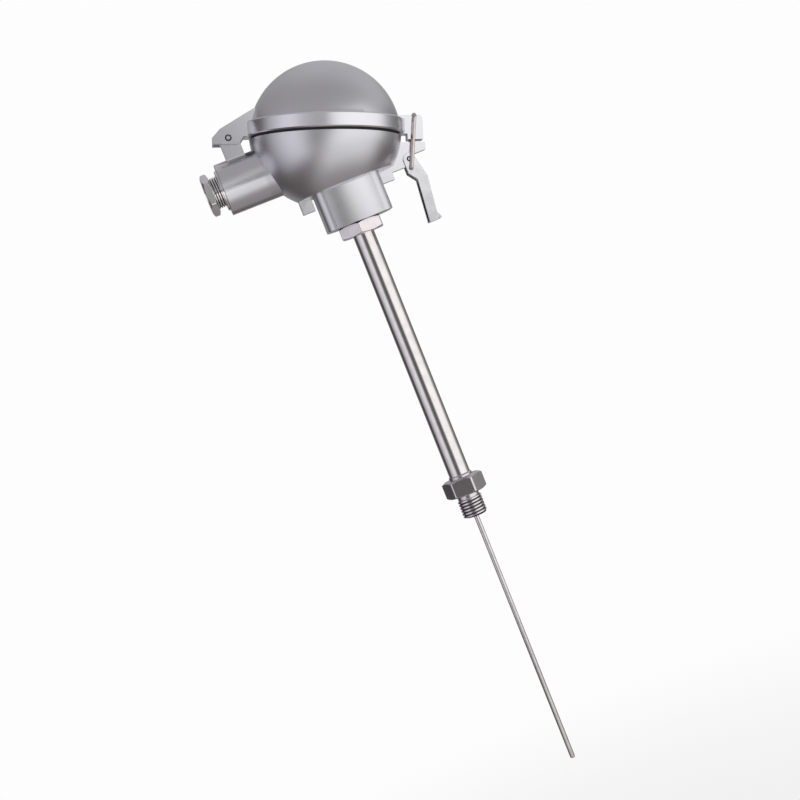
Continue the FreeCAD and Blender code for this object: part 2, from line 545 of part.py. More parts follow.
def make_bail():
    """The bent wire: two legs, a crossbar and two ends turned in, joined by quarter bends."""
    wire = "bail_d / 2"
    pieces = [cylinder("Crossbar", wire, "2 * (leg_y - bail_bend)", ("0", "-(leg_y - bail_bend)", "leg_len"), ALONG_Y)]
    for side, first_low, first_high in ((-1, 180, 90), (1, 270, 0)):
        leg = "%d * leg_y" % side
        pieces.append(cylinder("Leg_%d" % side, wire, "leg_len - bail_bend - hook_bend", ("0", leg, "hook_bend")))
        stub = "sheet_wall + bail_d / 2"
        start = "-lever_half" if side < 0 else "lever_half - (%s)" % stub
        pieces.append(cylinder("Hook_%d" % side, wire, stub, ("0", start, "0"), ALONG_Y))
        for name, bend, height, first in (("low", "hook_bend", "hook_bend", first_low),
                                          ("high", "bail_bend", "leg_len - bail_bend", first_high)):
            corner = solid("Torus", "Bend_%s_%d" % (name, side), ("0", "%d * (leg_y - %s)" % (side, bend), height),
                           Radius1=bend, Radius2=wire, Angle3="90")
            spin = FreeCAD.Rotation(V(1, 0, 0), first)
            flat = FreeCAD.Rotation(V(0, 1, 0), V(0, 0, 1), V(1, 0, 0), "ZXY")
            corner.Placement = FreeCAD.Placement(corner.Placement.Base, spin.multiply(flat))
            pieces.append(corner)
    bail = fuse("Bail", *pieces)
    return place(bail, ("hook_x", "0", "hook_z"), lean="atan2(bar_x - hook_x; bar_z - hook_z)")


def body_pad(body, name, outline, half):
    """A first pad in a body, to each side of the XZ plane."""
    pad = body.newObject("PartDesign::Pad", name)
    pad.Profile = sketch(body, "XZ_Plane", outline)
    pad.Midplane = True
    bind(pad, Length="2 * (%s)" % half)
    return body


def make_gland():
    """The hollow packing screw with its lock ring, and the thrust washer and seal that it presses."""
    screw = cut("Gland_screw",
                fuse("Gland_blank", threaded("Gland_shank", "gland_d", "-gland_thread_len",
                                             "gland_out + gland_hex_len / 2"),
                     hexagon("Gland_hex", "gland_af", "gland_out", "gland_out + gland_hex_len")),
                turned("Gland_bore", [
                    ("0", "-gland_thread_len - 1"), ("gland_bore / 2", "-gland_thread_len - 1"),
                    ("gland_bore / 2", "gland_out + gland_hex_len - gland_mouth"),
                    ("gland_bore / 2 + gland_mouth", "gland_out + gland_hex_len"),
                    ("gland_bore / 2 + gland_mouth", "gland_out + gland_hex_len + 1"),
                    ("0", "gland_out + gland_hex_len + 1")]))
    here = ("-boss_end", "0", "cable_z")
    finish(place(screw, here, TO_THE_BOSS), "packing_screw")
    finish(tube("Lock_ring", "gland_d / 2 + thread_fit", "ring_r", "0", "ring_len", at=here, turn=TO_THE_BOSS),
           "lock_ring")
    washer_low = "-gland_thread_len - thrust_len"
    finish(tube("Thrust_washer", "gland_bore / 2 - 1", "gland_d / 2 - fit", washer_low, "-gland_thread_len",
                at=here, turn=TO_THE_BOSS), "thrust_washer")
    finish(tube("Cable_seal", "seal_bore / 2", "gland_d / 2 - fit", "-gland_deep", washer_low,
                at=here, turn=TO_THE_BOSS), "cable_seal")


def make_insert():
    """What the head holds: disc, terminal block, terminals, screws, springs and the lead wires."""
    holes = [cylinder("Disc_hole_%d" % side, "screw_d / 2 + seat_gap", "disc_len + base_block_len + 2",
                      ("%d * screw_x" % side, "0", "floor_z - 1")) for side in (-1, 1)]
    finish(cut("Disc", cylinder("Disc_plate", "disc_r", "disc_len", ("0", "0", "floor_z")),
               cylinder("Disc_centre", "pot_d / 2 + fit", "disc_len + 2", ("0", "0", "floor_z - 1")), *holes),
           "insert_disc")
    block = turned("Block_body", [
        ("base_hole_r", "disc_top"), ("base_r", "disc_top"), ("base_r", "block_top - 1"),
        ("base_r - 1", "block_top"), ("base_hole_r", "block_top")])
    bolt_holes = [cylinder("Block_hole_%d" % side, "screw_d / 2 + seat_gap", "base_block_len + 2",
                           ("%d * screw_x" % side, "0", "disc_top - 1")) for side in (-1, 1)]
    finish(cut("Block", block, *bolt_holes), "terminal_block")
    screws = []
    quarter = 90
    for index in range(4):
        angle = 45 + quarter * index
        clamp = bar("Clamp_%d" % index, ("term_r - term_x / 2", "term_r + term_x / 2"),
                    ("-term_y / 2", "term_y / 2"), ("block_top", "block_top + term_len"))
        wire = cylinder("Clamp_wire_%d" % index, "term_hole_d / 2", "term_x + 2",
                        ("term_r + term_x / 2 + 1", "0", "block_top + term_len / 2"), TO_THE_BOSS)
        tap = cylinder("Clamp_tap_%d" % index, "term_screw_d / 2 + thread_fit", "term_len / 2 + 1",
                       ("term_r", "0", "block_top + term_len / 2"))
        piece = cut("Terminal_%d" % index, clamp, wire, tap)
        piece.Placement = FreeCAD.Placement(V(), FreeCAD.Rotation(V(0, 0, 1), angle))
        finish(piece, "terminal_%d" % (index + 1))
        screws.append(slotted("Term_screw_%d" % index, "term_screw_d", "term_head_d", "term_head_len",
                              "block_top + term_len", "term_len / 2 - term_hole_d / 2",
                              ("term_r", "0"), angle))
    finish(group("Terminal_screws", screws), "terminal_screws")
    bolt_seat = "block_top + spring_len"
    bolts = [slotted("Bolt_%d" % index, "screw_d", "screw_head_d", "screw_head_len", bolt_seat,
                     "spring_len + base_block_len + disc_len + 0.8 * floor_wall", ("screw_x", "0"), 180 * index)
             for index in range(2)]
    finish(group("Insert_screws", bolts), "insert_screws")
    finish(group("Insert_springs", [coil(index) for index in range(2)]), "insert_springs")
    for index in range(3):
        finish(lead(index, 45 + quarter * index), "lead_wire_%d" % (index + 1))


def group(name, members):
    """Like pieces that share one node as separate solids."""
    batch = doc.addObject("Part::Compound", name)
    batch.Links = members
    return batch


def slotted(name, shank, head, head_len, seat, length, at, angle):
    """A slotted cheese-head screw standing on its seat, turned with its place about the axis."""
    blank = fuse(name + "_blank",
                 cylinder(name + "_shank", "(%s) / 2" % shank, length, at + ("(%s) - (%s)" % (seat, length),)),
                 cylinder(name + "_head", "(%s) / 2" % head, head_len, at + (seat,)))
    slot = bar(name + "_slot", ("%s - %s" % (at[0], head), "%s + %s" % (at[0], head)),
               ("-slot_wide / 2", "slot_wide / 2"),
               ("(%s) + (%s) - slot_deep" % (seat, head_len), "(%s) + (%s) + 1" % (seat, head_len)))
    screw = cut(name, blank, slot)
    screw.Placement = FreeCAD.Placement(V(), FreeCAD.Rotation(V(0, 0, 1), angle))
    return screw


def coil(index):
    """One of the two springs that press the insert down, its five turns pressed until they touch."""
    outside = []
    for turn in range(5):
        foot = "%d * spring_wire" % turn
        outside += [("spring_out - spring_cut", foot), ("spring_out", foot + " + spring_cut"),
                    ("spring_out", foot + " + spring_wire - spring_cut")]
    inside = [(across.replace("spring_out", "spring_in").replace(" - ", " + "), up) for across, up in outside]
    top = [("spring_out - spring_cut", "spring_len"), ("spring_in + spring_cut", "spring_len")]
    return turned("Spring_%d" % index, outside + top + inside[::-1],
                  at=("%d * screw_x" % (1 - 2 * index), "0", "block_top"))


def lead(index, angle):
    """A lead wire: up out of the sleeve, round a quarter bend and into the side of its terminal."""
    level = "block_top + term_len / 2"
    upright = cylinder("Lead_up_%d" % index, "lead_d / 2", "%s - lead_bend - pot_top" % level,
                       ("lead_ring", "0", "pot_top"))
    bend = solid("Torus", "Lead_bend_%d" % index, ("lead_ring + lead_bend", "0", "%s - lead_bend" % level),
                 Radius1="lead_bend", Radius2="lead_d / 2", Angle3="90")
    bend.Placement = FreeCAD.Placement(bend.Placement.Base,
                                       FreeCAD.Rotation(V(-1, 0, 0), V(0, 0, 1), V(0, 1, 0), "ZXY"))
    run = "term_r - term_x / 4 - lead_ring - lead_bend"
    out = cylinder("Lead_out_%d" % index, "lead_d / 2", run,
                   ("lead_ring + lead_bend + %s" % run, "0", level), TO_THE_BOSS)
    wire = fuse("Lead_%d" % index, upright, bend, out)
    wire.Placement = FreeCAD.Placement(V(), FreeCAD.Rotation(V(0, 0, 1), angle))
    return wire


def export():
    """Recompute, look for failures, and write one file for each finished piece."""
    doc.recompute()
    for thing in doc.Objects:
        if "Invalid" in thing.State or "Error" in thing.State:
            raise RuntimeError("%s failed: %s" % (thing.Name, thing.State))
    os.makedirs("parts", exist_ok=True)
    for thing in made:
        shape = thing.Shape
        if shape.isNull() or not shape.isValid() or not shape.Solids:
            raise RuntimeError("%s has no valid solid" % thing.Label)
        shape.exportStep("parts/%s.step" % thing.Label)
        box = shape.BoundBox
        print("%-18s solids %d volume %9.1f  x %7.2f %7.2f  y %7.2f %7.2f  z %7.2f %7.2f" % (
            thing.Label, len(shape.Solids), shape.Volume,
            box.XMin, box.XMax, box.YMin, box.YMax, box.ZMin, box.ZMax))


make_probe()
make_fitting()
make_nipple()
make_head_body()
make_lid()
make_latch()
make_gland()
make_insert()
export()
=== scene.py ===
"""Looks of a resistance thermometer with a cast connection head, laid over its fixed frame.

Everything is in metres in the part's own frame: the origin on the shoulder of the process thread, +Z up the
tube to the head, +X to the latch, -Y to the flat front of the neck. The lid leans about Y; its own axes are
u, down the slope of the seam to the latch, v, along Y, and w, square to the seam.
"""
import math

import bpy
import bmesh
import numpy as np
from mathutils import Matrix, Vector


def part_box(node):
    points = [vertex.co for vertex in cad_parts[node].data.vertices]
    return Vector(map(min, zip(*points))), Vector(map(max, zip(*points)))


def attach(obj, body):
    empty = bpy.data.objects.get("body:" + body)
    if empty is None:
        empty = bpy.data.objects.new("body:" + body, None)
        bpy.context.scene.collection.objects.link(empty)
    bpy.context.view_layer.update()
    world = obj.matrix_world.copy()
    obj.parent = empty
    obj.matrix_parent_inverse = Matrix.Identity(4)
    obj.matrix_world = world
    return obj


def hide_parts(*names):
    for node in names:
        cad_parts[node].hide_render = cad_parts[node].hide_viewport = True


bl_info = {
    "name": "Resistance thermometer with connection head",
    "version": (1, 0, 0),
    "blender": (4, 5, 0),
    "location": "3D View > Sidebar > Thermometer",
    "description": "Builds the finished surfaces, materials, lights and camera of a head-mounted thermometer",
    "category": "Object",
}

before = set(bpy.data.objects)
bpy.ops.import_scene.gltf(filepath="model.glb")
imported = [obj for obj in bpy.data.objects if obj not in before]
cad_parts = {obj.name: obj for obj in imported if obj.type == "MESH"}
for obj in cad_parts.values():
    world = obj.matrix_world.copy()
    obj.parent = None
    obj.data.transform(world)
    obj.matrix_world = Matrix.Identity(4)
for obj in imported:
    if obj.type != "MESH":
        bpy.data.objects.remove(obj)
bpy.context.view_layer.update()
MM = 0.001
TURN = 2 * math.pi

BOSS_HEIGHT = 0.2355            # axis of the cable boss above the shoulder
BOSS_RADIUS = 0.0167
BOSS_END = -0.072               # its machined face, in X
SCREW_BORE = 0.006              # radius of the way through the packing screw
TUBE_FIT = 0.00705              # radius that the extension tube slips into
FLOOR_LEVEL = -0.32
WHITE = (0.985, 0.985, 0.985)   # paper white, just under clipping


class ProbeSizes(bpy.types.PropertyGroup):
    """Sizes that the finished surfaces share with the solids, in metres and radians."""

    seam_height: bpy.props.FloatProperty(
        name="Seam height", description="Middle of the seam above the shoulder of the process thread",
        default=0.243, unit="LENGTH")
    lid_tilt: bpy.props.FloatProperty(
        name="Lid tilt", description="Slope of the seam about Y", default=math.radians(20), subtype="ANGLE")
    thread_pitch: bpy.props.FloatProperty(
        name="Thread pitch", description="Pitch of the process thread", default=0.002, unit="LENGTH")
    gland_pitch: bpy.props.FloatProperty(
        name="Gland pitch", description="Pitch of the packing screw's thread", default=0.0015, unit="LENGTH")
    thread_depth: bpy.props.FloatProperty(
        name="Thread depth", description="Depth of the cut threads", default=0.0009, unit="LENGTH")
    casting_edge: bpy.props.FloatProperty(
        name="Casting edge", description="Rounding of the castings' edges", default=0.0006, unit="LENGTH")
    wire_diameter: bpy.props.FloatProperty(
        name="Wire diameter", description="Diameter of the bail's wire", default=0.0026, unit="LENGTH")


class ProbeColours(bpy.types.PropertyGroup):
    """Base colours of the finishes."""

    casting: bpy.props.FloatVectorProperty(
        name="Casting", description="Cast and machined alloy of the head", subtype="COLOR",
        default=(0.69, 0.685, 0.71))
    tube: bpy.props.FloatVectorProperty(
        name="Tube", description="Polished steel of the extension tube", subtype="COLOR",
        default=(0.74, 0.70, 0.70))
    fitting: bpy.props.FloatVectorProperty(
        name="Fitting", description="Milled steel of nipple and process fitting", subtype="COLOR",
        default=(0.62, 0.575, 0.59))
    plating: bpy.props.FloatVectorProperty(
        name="Plating", description="Nickel plating of the packing screw", subtype="COLOR",
        default=(0.78, 0.76, 0.75))
    sheet: bpy.props.FloatVectorProperty(
        name="Sheet", description="Zinc plated sheet of the latch lever", subtype="COLOR",
        default=(0.72, 0.72, 0.74))
    wire: bpy.props.FloatVectorProperty(
        name="Wire", description="Bright wire of the bail", subtype="COLOR", default=(0.60, 0.53, 0.51))


class Studio(bpy.types.PropertyGroup):
    """Place of the camera and strength of the light."""

    azimuth: bpy.props.FloatProperty(
        name="Azimuth", description="Side from which the camera looks", default=math.radians(-5),
        subtype="ANGLE")
    elevation: bpy.props.FloatProperty(
        name="Elevation", description="Height from which the camera looks", default=math.radians(3.48),
        subtype="ANGLE")
    roll: bpy.props.FloatProperty(
        name="Roll", description="Turn of the picture about the line of sight", default=math.radians(21.85),
        subtype="ANGLE")
    distance: bpy.props.FloatProperty(
        name="Distance", description="From the camera to the middle of the view", default=1.116, unit="LENGTH")
    lens: bpy.props.FloatProperty(
        name="Lens", description="Focal length on a 36 mm sensor, in millimetres", default=78.8)
    strength: bpy.props.FloatProperty(
        name="Light", description="Strength of the studio's surroundings", default=1.0)


def group_of(name):
    """One of the scene's property groups, which hold the values that the panel shows."""
    return getattr(bpy.context.scene, name)


# ---------------------------------------------------------------- surfaces


def arcs(points, radius, steps=5, closed=True):
    """A polyline with each corner turned into an arc that touches both its runs.

    At a corner with unit directions a and b to its neighbours, the arc starts and ends at radius / tan(half)
    from the corner, shortened to under half of the shorter run, and its points follow a quadratic curve
    between those two places with the corner as control point, which keeps its tangents.
    """
    points = np.asarray(points, float)
    count = len(points)
    radii = np.broadcast_to(np.asarray(radius, float), (count,))
    t = np.linspace(0, 1, steps)[:, None]
    out = []
    for index in range(count):
        here = points[index]
        if radii[index] <= 0 or (not closed and index in (0, count - 1)):
            out.append(here[None])
            continue
        before, after = points[index - 1] - here, points[(index + 1) % count] - here
        la, lb = np.linalg.norm(before), np.linalg.norm(after)
        a, b = before / la, after / lb
        half = math.acos(max(-1.0, min(1.0, float(a @ b)))) / 2
        reach = min(radii[index] / max(math.tan(half), 1e-6), 0.48 * la, 0.48 * lb)
        start, end = here + a * reach, here + b * reach
        out.append((1 - t) ** 2 * start + 2 * t * (1 - t) * here + t ** 2 * end)
    return np.concatenate(out)


def skin(loops, wrap=False, first=None, last=None):
    """Vertices and faces of a surface through rings that each run once round.

    Ring i and ring i + 1 are joined point by point with quads. With wrap the last ring joins the first, and
    otherwise each end may be closed by a point, or by one flat face over its ring when the word is "face".
    """
    loops = np.asarray(loops, float)
    rows, cols = loops.shape[:2]
    index = np.arange(rows * cols).reshape(rows, cols)
    above = np.roll(index, -1, axis=0) if wrap else index[1:]
    below = index if wrap else index[:-1]
    quads = np.stack([below, np.roll(below, -1, 1), np.roll(above, -1, 1), above], -1).reshape(-1, 4)
    vertices = loops.reshape(-1, 3)
    faces = quads.tolist()
    for end, ring, turned in ((first, index[0], True), (last, index[-1], False)):
        if end is None:
            continue
        order = ring[::-1] if turned else ring
        if isinstance(end, str):
            faces.append(order.tolist())
            continue
        pole = len(vertices)
        vertices = np.vstack([vertices, np.asarray(end, float)[None]])
        fan = np.stack([order, np.roll(order, -1), np.full(len(order), pole)], -1)
        faces.extend(fan.tolist())
    return vertices, faces


def hold_ends(profile, closed, guard=0.0003):
    """The profile with a further point close to both ends of each long run, which keeps the shading flat there.

    A run of length L with unit direction e gets points at guard * e and at (L - guard) * e when L is over
    four guards. An open profile has no run from its last point to its first.
    """
    ahead = np.roll(profile, -1, 0) - profile
    length = np.linalg.norm(ahead, axis=1)
    unit = ahead / np.maximum(length, 1e-9)[:, None]
    long = length > 4 * guard
    if not closed:
        long[-1] = False
    points = np.stack([profile, profile + unit * guard, profile + ahead - unit * guard], 1)
    return points[np.stack([np.ones_like(long), long, long], 1)]


def lathe(profile, count=96, axis=None):
    """A turned surface: each (radius, height) of the profile is carried once round the axis.

    A point at angle t lies at radius * (cos t, sin t) and its height; a profile that closes on itself gives
    a closed ring, and one that starts and ends on the axis is closed by points there.
    """
    profile = np.asarray(profile, float)
    t = np.arange(count) * TURN / count
    round_about = np.stack([np.cos(t), np.sin(t)], -1)
    on_axis = profile[0, 0] < 1e-9 and profile[-1, 0] < 1e-9
    profile = hold_ends(profile, not on_axis)
    inner = profile[1:-1] if on_axis else profile
    loops = np.empty((len(inner), count, 3))
    loops[..., :2] = inner[:, None, :1] * round_about[None]
    loops[..., 2] = inner[:, None, 1]
    if on_axis:
        vertices, faces = skin(loops, first=(0, 0, profile[0, 1]), last=(0, 0, profile[-1, 1]))
    else:
        vertices, faces = skin(loops, wrap=True)
    if axis is not None:
        vertices = transform(vertices, axis)
    return vertices, faces


def transform(vertices, matrix):
    """Points carried by a 4 by 4 matrix."""
    matrix = np.array(matrix, float)
    return vertices @ matrix[:3, :3].T + matrix[:3, 3]


def lid_matrix():
    """From the lid's u, v, w to the part's own frame."""
    sizes = group_of("probe_sizes")
    return Matrix.Translation((0, 0, sizes.seam_height)) @ Matrix.Rotation(sizes.lid_tilt, 4, "Y")


def hexagon_radius(t, flats, turn, corner):
    """Distance from the axis to a hexagon's side at each angle, its upright edges rounded.

    Along a flat it is half the width across flats over the cosine of the angle from the flat's middle. Near
    a corner it is the far crossing of the ray with a circle of the corner's radius that touches both flats.
    """
    from_flat = (t - turn + math.pi / 6) % (math.pi / 3) - math.pi / 6
    from_corner = math.pi / 6 - np.abs(from_flat)
    centre = (flats / 2 - corner) / math.cos(math.pi / 6)
    limit = math.atan2(corner / 2, centre + corner * math.cos(math.pi / 6))
    half_chord = np.sqrt(np.maximum(corner ** 2 - (centre * np.sin(from_corner)) ** 2, 0))
    arc = centre * np.cos(from_corner) + half_chord
    return np.where(from_corner < limit, arc, flats / 2 / np.cos(from_flat))


def hexagonal(flats, low, high, bevel, turn, bore_low, bore_high, corner=0.0012, count=600, matrix=None):
    """A bevelled hexagonal piece with a round way through it.

    The outside radius at each height is the smaller of the hexagon's and a cone's, which runs from just under
    the flats at each end face out past the corners; the inside runs straight between two bore radii. The rings
    crowd towards the faces, and a last one just past the bevel keeps the flats' shading flat.
    """
    t = np.arange(count) * TURN / count
    crowding, past_bevel = 1.3, 1.2
    rise = bevel * np.append(np.linspace(0, 1, 9) ** crowding, past_bevel)
    heights = np.concatenate([low + rise, high - rise[::-1]])
    open_up = np.concatenate([rise, rise[::-1]]) / bevel
    cone = flats / 2 * (0.965 + open_up * (2 / math.sqrt(3) - 0.955))
    outside = np.minimum(hexagon_radius(t, flats, turn, corner)[None], cone[:, None])
    radii = np.vstack([np.full(count, bore_low), outside, np.full(count, bore_high)])
    levels = np.concatenate([[low], heights, [high]])
    loops = np.stack([radii * np.cos(t), radii * np.sin(t), np.broadcast_to(levels[:, None], radii.shape)], -1)
    vertices, faces = skin(loops, wrap=True)
    return (transform(vertices, matrix) if matrix is not None else vertices), faces


def threaded(diameter, low, high, pitch, depth, bore, count=96, lead=0.0012, neck=0.0, matrix=None):
    """A threaded sleeve: the radius falls from the crest by the depth times a rounded triangle wave.

    The wave's phase is height / pitch less angle / turn, so its crest climbs one pitch in each turn. Near the
    low end the crest is drawn in along a lead, and at the high end a plain neck is turned down to the root.
    """
    rows_in_pitch, flank, crest_land, run_out, least_wall = 36, 2.5, 1.125, 0.0004, 0.0004
    rows = int((high - low) / pitch * rows_in_pitch) + 2
    z = np.linspace(low, high, rows)[:, None]
    t = (np.arange(count) * TURN / count)[None]
    phase = (z / pitch - t / TURN) % 1.0
    wave = np.clip(np.abs(2 * phase - 1) * flank - crest_land, 0, 1)
    wave = wave * wave * (3 - 2 * wave)
    if neck:
        plain = np.clip((z - (high - neck)) / run_out, 0, 1)
        wave = wave * (1 - plain) + plain * 0.95
    nose = np.clip(1 - (z - low) / lead, 0, 1)
    radius = diameter / 2 - depth * wave - nose * depth * 1.1
    radius = np.maximum(radius, bore + least_wall)
    loops = np.stack([radius * np.cos(t), radius * np.sin(t), np.broadcast_to(z, radius.shape)], -1)
    ring = np.stack([bore * np.cos(t[0]), bore * np.sin(t[0])], -1)
    ends = np.empty((2, count, 3))
    ends[..., :2] = ring
    ends[0, :, 2], ends[1, :, 2] = high, low
    vertices, faces = skin(np.concatenate([loops, ends]), wrap=True)
    return (transform(vertices, matrix) if matrix is not None else vertices), faces


def wire(path, radius, count=20):
    """A round wire along a bent line in one plane, closed at both ends.

    At each point of the line lies a ring of the wire's radius, square to the line's tangent.
    """
    path = np.asarray(path, float)
    tangent = np.gradient(path, axis=0)
    tangent /= np.linalg.norm(tangent, axis=1, keepdims=True)
    middle = len(path) // 4
    binormal = np.cross(tangent[0], path[middle] - path[0])
    binormal /= np.linalg.norm(binormal)
    side = np.cross(binormal, tangent)
    t = np.arange(count) * TURN / count
    loops = path[:, None] + radius * (np.cos(t)[None, :, None] * side[:, None]
                                      + np.sin(t)[None, :, None] * binormal)
    return skin(loops, first=path[0], last=path[-1])


def piece(name, body, *shapes, sharp=32, slot=None, replaces=()):
    """One object from one or more closed surfaces, smooth except over sharp edges, riding on a body."""
    vertices, faces, start = [], [], 0
    for shape_vertices, shape_faces in shapes:
        vertices.append(shape_vertices)
        faces.extend([[corner + start for corner in face] for face in shape_faces])
        start += len(shape_vertices)
    mesh = bpy.data.meshes.new(name)
    mesh.from_pydata(np.concatenate(vertices).tolist(), [], faces)
    outwards(mesh)
    mesh.shade_smooth()
    mesh.set_sharp_from_angle(angle=math.radians(sharp))
    thing = bpy.data.objects.new(name, mesh)
    bpy.context.scene.collection.objects.link(thing)
    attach(thing, body)
    if replaces:
        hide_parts(*replaces)
    return thing


def outwards(mesh):
    """Merge coincident points and turn the faces of each closed shell outwards."""
    work = bmesh.new()
    work.from_mesh(mesh)
    bmesh.ops.remove_doubles(work, verts=work.verts, dist=1e-7)
    bmesh.ops.recalc_face_normals(work, faces=work.faces)
    work.to_mesh(mesh)
    work.free()


def eased(node, name, body, edge, segments=3, sharp=30, blunt=None):
    """A finished copy of a solid: merged, its flats joined into whole faces, and its edges rounded.

    blunt picks edges by their two ends and gives the larger radius that those are rounded with first.
    """
    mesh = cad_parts[node].data.copy()
    mesh.name = name
    mesh.materials.clear()
    work = bmesh.new()
    work.from_mesh(mesh)
    bmesh.ops.remove_doubles(work, verts=work.verts, dist=2e-6)
    bmesh.ops.dissolve_limit(work, angle_limit=math.radians(0.05), verts=work.verts, edges=work.edges)
    if blunt:
        chosen, radius = blunt
        picked = [edge_line for edge_line in work.edges if chosen(*(corner.co for corner in edge_line.verts))]
        bmesh.ops.bevel(work, geom=picked, offset=radius, segments=8, profile=0.5, affect="EDGES")
    work.to_mesh(mesh)
    work.free()
    mesh.shade_smooth()
    mesh.set_sharp_from_angle(angle=math.radians(sharp))
    thing = bpy.data.objects.new(name, mesh)
    bpy.context.scene.collection.objects.link(thing)
    if edge:
        bevel = thing.modifiers.new("Rounded edges", "BEVEL")
        bevel.width = edge
        bevel.segments = segments
        bevel.limit_method = "ANGLE"
        bevel.angle_limit = math.radians(sharp)
        bevel.harden_normals = True
        bevel.use_clamp_overlap = True
    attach(thing, body)
    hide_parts(node)
    return thing


# ---------------------------------------------------------------- materials


class Socket:
    """A node's output that adds Math nodes when it is used in an expression."""

    def __init__(self, shader, output):
        self.shader = shader
        self.output = output

    def math(self, operation, *others):
        return self.shader.node("ShaderNodeMath", {"operation": operation}, [self, *others])[0]

    def __add__(self, other):
        return self.math("ADD", other)

    __radd__ = __add__

    def __mul__(self, other):
        return self.math("MULTIPLY", other)

    __rmul__ = __mul__

    def __sub__(self, other):
        return self.math("SUBTRACT", other)

    def __rsub__(self, other):
        return self.shader.node("ShaderNodeMath", {"operation": "SUBTRACT"}, [other, self])[0]

    def __truediv__(self, other):
        return self.math("DIVIDE", other)

    def __pow__(self, other):
        return self.math("POWER", other)

    def sine(self):
        return self.math("SINE")

    def size(self):
        return self.math("ABSOLUTE")

    def between(self, low, high):
        """Rises smoothly from 0 at low to 1 at high."""
        return self.shader.node("ShaderNodeMapRange", {"interpolation_type": "SMOOTHSTEP"},
                                {"Value": self, "From Min": low, "From Max": high})[0]

    def window(self, middle, half, soft):
        """1 within half of the middle, falling smoothly to 0 over soft."""
        return 1 - (self - middle).size().between(half, half + soft)


class Shader:
    """A material or world whose nodes come from one method."""

    def __init__(self, owner):
        owner.use_nodes = True
        self.tree = owner.node_tree
        self.tree.nodes.clear()

    def node(self, kind, settings=None, values=None):
        """Add a node, set its settings and then its inputs, and return its outputs as sockets.

        An input takes a socket, which is linked, or a plain value; a colour may leave out its fourth number.
        """
        made = self.tree.nodes.new(kind)
        for key, value in (settings or {}).items():
            if key == "stops":
                self.stops(made.color_ramp, value)
            else:
                setattr(made, key, value)
        pairs = enumerate(values) if isinstance(values, (list, tuple)) else (values or {}).items()
        for key, value in pairs:
            target = made.inputs[key]
            if isinstance(value, Socket):
                self.tree.links.new(value.output, target)
            elif target.type == "RGBA":
                target.default_value = (*value, 1.0)[:4]
            else:
                target.default_value = value
        return [Socket(self, output) for output in made.outputs]

    @staticmethod
    def stops(ramp, stops):
        """Give a colour ramp its stops, each a position and a colour."""
        while len(ramp.elements) < len(stops):
            ramp.elements.new(0.5)
        for element, (position, colour) in zip(ramp.elements, stops):
            element.position = position
            element.color = (*colour, 1.0)

    def place(self, matrix=None):
        """Object coordinates, or those seen from axes that a matrix carries onto the part's."""
        coords = self.node("ShaderNodeTexCoord")[3]
        if matrix is None:
            return coords
        inverse = matrix.inverted()
        return self.node("ShaderNodeMapping", {}, {
            "Vector": coords, "Location": inverse.to_translation(), "Rotation": inverse.to_euler()})[0]

    def axes(self, coords):
        """The three numbers of a vector."""
        return self.node("ShaderNodeSeparateXYZ", {}, [coords])

    def noise(self, coords, scale, detail=3.0, rough=0.5):
        """Noise of about 0 to 1, with scale given in cells per metre."""
        return self.node("ShaderNodeTexNoise", {}, {
            "Vector": coords, "Scale": scale, "Detail": detail, "Roughness": rough})[0]

    def mix(self, factor, a, b):
        """Two colours mixed by a factor."""
        return self.node("ShaderNodeMix", {"data_type": "RGBA"}, {0: factor, 6: a, 7: b})[2]

    def bump(self, height, strength, distance):
        """A normal tilted by a height; distance is the relief in metres."""
        return self.node("ShaderNodeBump", {}, {
            "Height": height, "Strength": strength, "Distance": distance})[0]

    def surface(self, **inputs):
        """A Principled shader as the surface; names use underscores for spaces."""
        values = {key.replace("_", " "): value for key, value in inputs.items()}
        made = self.node("ShaderNodeBsdfPrincipled", {}, values)
        self.node("ShaderNodeOutputMaterial", {}, [made[0]])


def tone(colour, by):
    """A colour made lighter or darker by a share."""
    return tuple(min(channel * by, 1.0) for channel in colour)


def material(name):
    """A new material and the shader that fills it."""
    made = bpy.data.materials.new(name)
    return made, Shader(made)


def dress(thing, finish):
    """Give an object its one material; a node of the frame keeps its slots, which are filled."""
    if thing.material_slots:
        for place in thing.material_slots:
            place.material = finish
    else:
        thing.data.materials.append(finish)
    return thing


